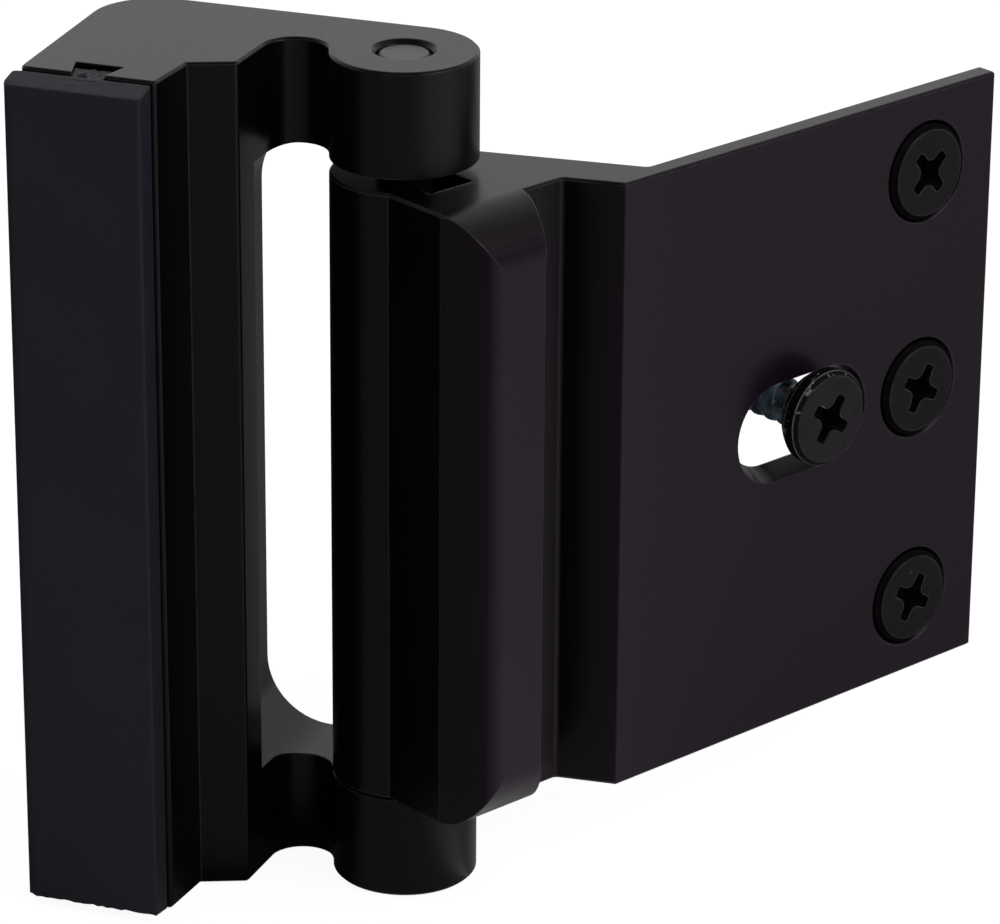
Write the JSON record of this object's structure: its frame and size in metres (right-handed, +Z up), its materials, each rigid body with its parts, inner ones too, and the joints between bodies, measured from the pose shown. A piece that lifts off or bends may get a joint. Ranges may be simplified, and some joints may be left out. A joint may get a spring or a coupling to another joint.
{
  "type": "door reinforcement lock",
  "caption": "Jamb-mounted swing lock: a hooked arm with a bumper pad turns on a sprung pin in a screwed-on bracket and bars the door when it is folded across.",
  "frame": {"origin": "on the plate's mounting face, at the axis of the middle jamb screw", "axes": "+X along the plate away from the hinge, +Y into the jamb, +Z up along the hinge pin"},
  "size_m": [0.0862, 0.0441, 0.0762],
  "materials": {
    "black_anodised": "satin black anodised extrusion",
    "pad_rubber": "matt black moulded rubber",
    "pin_steel": "blackened ground steel",
    "spring_steel": "tempered strip steel",
    "screw_black": "black head on a zinc-plated shank"
  },
  "bodies": {
    "bracket": {"jamb_bracket": "black_anodised", "pin_spring": "spring_steel", "jamb_screw_top": "screw_black", "jamb_screw_middle": "screw_black", "jamb_screw_bottom": "screw_black", "slot_screw": "screw_black"},
    "pin": {"hinge_pin": "pin_steel"},
    "arm": {"swing_arm": "black_anodised", "bumper_pad": "pad_rubber"}
  },
  "joints": [
    {"name": "arm_pull", "type": "slide", "parent": "bracket", "child": "pin", "axis": [0, -1, 0], "range_m": [0, 0.0032], "stiffness_N_per_m": 2500, "springref_m": -0.002, "deforming": ["pin_spring"]},
    {"name": "arm_swing", "type": "hinge", "parent": "pin", "child": "arm", "pos_m": [-0.0482, 0.0128, 0], "axis": [0, 0, 1], "range_deg": [-29.5, 100]}
  ]
}
